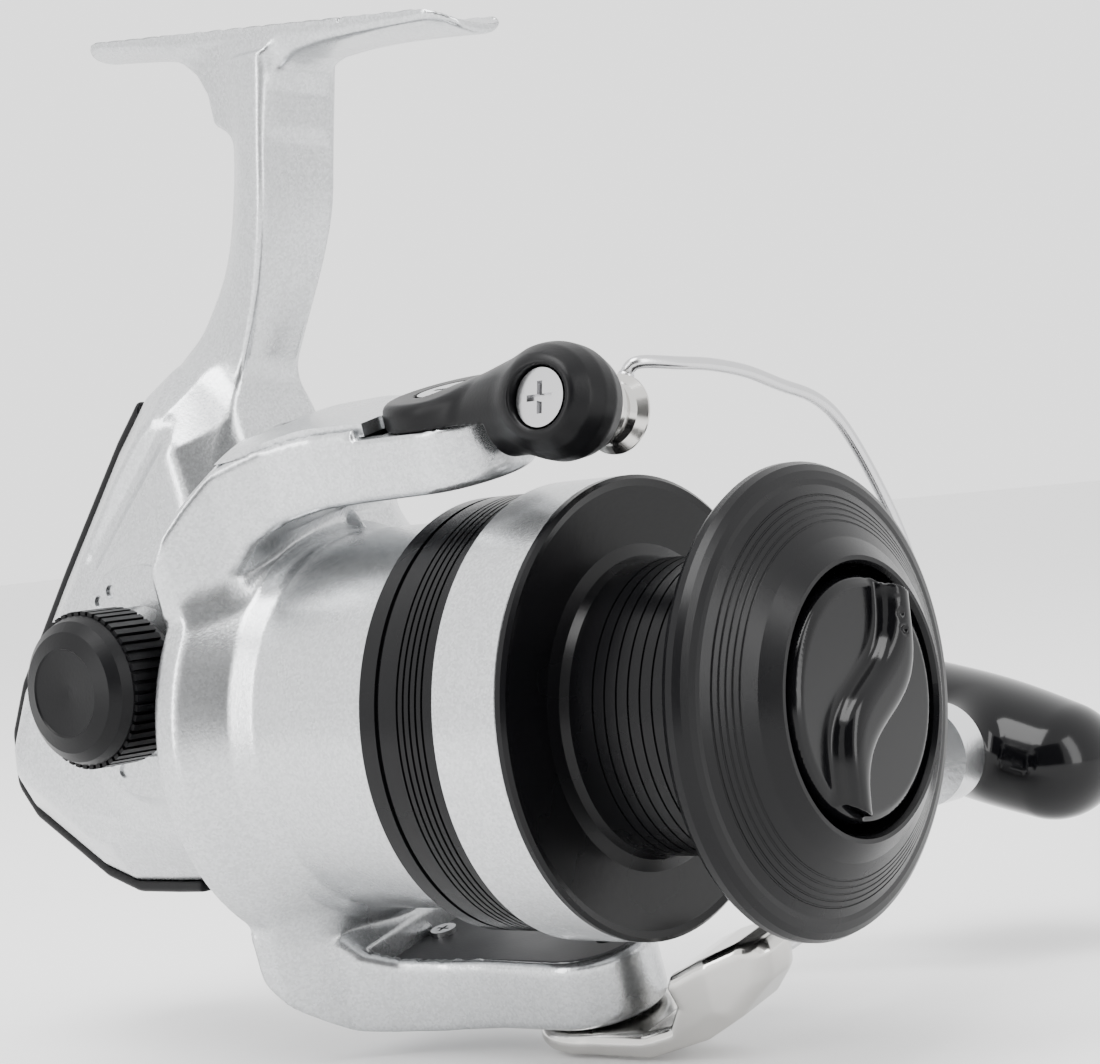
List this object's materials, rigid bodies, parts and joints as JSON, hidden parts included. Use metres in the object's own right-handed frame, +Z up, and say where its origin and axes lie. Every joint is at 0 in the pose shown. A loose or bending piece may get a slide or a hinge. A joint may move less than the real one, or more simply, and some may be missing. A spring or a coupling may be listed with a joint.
{
  "type": "spinning reel",
  "caption": "Front-drag spinning fishing reel with folding crank, rotor with two arms, wire bail, line roller, ribbed spool and a gearbox under a rod foot",
  "frame": {"origin": "middle of the flat strip in the foot's seat face, where the rod's reel seat bears", "axes": "+Y runs from the spool's front to the rear of the body, parallel to the spool shaft; +Z points up out of the foot to the rod; +X points to the crank side"},
  "size_m": [0.1262, 0.1491, 0.143],
  "materials": {
    "silver_paint": "satin silver metallic paint",
    "black_plastic": "satin black moulded plastic",
    "gloss_black": "glossy black moulded plastic",
    "black_anodised": "black anodised turned aluminium",
    "bare_aluminium": "satin machined aluminium",
    "steel": "ground steel",
    "nickel": "polished nickel plate",
    "brass": "machined brass",
    "zinc": "die-cast zinc, as cast",
    "white_plastic": "natural acetal",
    "felt": "oiled felt",
    "dark_plastic": "dark grey moulded plastic"
  },
  "bodies": {
    "housing": {"body": "silver_paint", "side_cover": "silver_paint", "case_screws": "steel", "boss_ring": "silver_paint", "rear_bumper": "black_plastic", "front_plate": "bare_aluminium", "plate_screws": "steel", "pinion_bearing": "steel", "pinion_bushing": "brass", "clutch_ring": "steel", "clutch_rollers": "steel", "clutch_cage": "black_plastic", "gear_bearings": "steel", "guide_rod": "steel", "rod_plate": "steel"},
    "crank": {"drive_gear": "zinc", "handle_hub": "bare_aluminium", "fold_pin": "steel"},
    "cap": {"handle_cap": "black_plastic"},
    "osc": {"osc_gear": "white_plastic"},
    "arm": {"handle_arm": "bare_aluminium", "knob_axle": "steel"},
    "knob": {"knob": "gloss_black", "knob_cap": "black_plastic"},
    "rotor": {"rotor": "silver_paint", "pinion": "brass", "clutch_sleeve": "steel", "rotor_nut": "brass", "nut_lock": "steel", "rotor_screws": "steel", "arm_cover": "silver_paint", "arm_insert": "dark_plastic", "balance_weight": "steel", "bail_spring": "steel", "bail_pivot_top": "steel", "bail_pivot_low": "steel"},
    "kick": {"kick_lever": "steel"},
    "bail": {"bail_arm": "black_plastic", "bail_lever": "nickel", "bail_wire": "steel", "roller_screw": "steel", "roller_bush": "white_plastic"},
    "roller": {"line_roller": "nickel"},
    "shaft": {"main_shaft": "steel", "slider": "zinc", "slider_screw": "steel", "shaft_pin": "steel", "click_gear": "steel", "spool_shims": "white_plastic", "drag_washers_keyed": "steel", "drag_spring": "steel"},
    "spool": {"spool": "black_anodised", "spool_band": "silver_paint", "click_spring": "steel", "drag_washers_felt": "felt", "drag_ring": "steel", "line_clip": "black_plastic"},
    "dragknob": {"drag_knob": "gloss_black", "drag_nut": "brass"}
  },
  "joints": [
    {"name": "crank_turn", "type": "hinge", "parent": "housing", "child": "crank", "pos_m": [0, 0.0179, -0.08485], "axis": [-1, 0, 0], "continuous": true},
    {"name": "rotor_spin", "type": "hinge", "parent": "housing", "child": "rotor", "pos_m": [0, -0.052, -0.0928], "axis": [0, 1, 0], "continuous": true},
    {"name": "osc_gear_spin", "type": "hinge", "parent": "housing", "child": "osc", "pos_m": [0, 0.0367, -0.0958], "axis": [-1, 0, 0], "continuous": true},
    {"name": "spool_slide", "type": "slide", "parent": "housing", "child": "shaft", "axis": [0, 1, 0], "range_m": [0, 0.015]},
    {"name": "drag_slip", "type": "hinge", "parent": "shaft", "child": "spool", "pos_m": [0, -0.052, -0.0928], "axis": [0, 1, 0], "continuous": true},
    {"name": "drag_knob_turn", "type": "hinge", "parent": "shaft", "child": "dragknob", "pos_m": [0, -0.08, -0.0928], "axis": [0, -1, 0], "range_deg": [-300, 300]},
    {"name": "bail_open", "type": "hinge", "parent": "rotor", "child": "bail", "pos_m": [0, -0.0317, -0.0928], "axis": [0.225, 0, -0.9744], "range_deg": [0, 100]},
    {"name": "kick_swing", "type": "hinge", "parent": "rotor", "child": "kick", "pos_m": [-0.00821, -0.007, -0.05724], "axis": [0.225, 0, -0.9744], "range_deg": [-20, 0]},
    {"name": "line_roller_spin", "type": "hinge", "parent": "bail", "child": "roller", "pos_m": [-0.00627, -0.0536, -0.05586], "axis": [0.9848, 0, -0.1736], "continuous": true},
    {"name": "handle_fold", "type": "hinge", "parent": "crank", "child": "arm", "pos_m": [0.033, 0.0179, -0.08485], "axis": [0, -0.304, 0.9527], "range_deg": [0, 90]},
    {"name": "knob_spin", "type": "hinge", "parent": "arm", "child": "knob", "pos_m": [0.08, -0.05183, -0.10711], "axis": [1, 0, 0], "continuous": true},
    {"name": "handle_cap_turn", "type": "hinge", "parent": "crank", "child": "cap", "pos_m": [-0.028, 0.0179, -0.08485], "axis": [-1, 0, 0], "range_deg": [-360, 360]}
  ],
  "couplings": [
    {"joint": "rotor_spin", "follows": "crank_turn", "ratio": 4.875},
    {"joint": "osc_gear_spin", "follows": "crank_turn", "ratio": -0.58333},
    {"joint": "kick_swing", "follows": "bail_open", "ratio": -0.2}
  ]
}
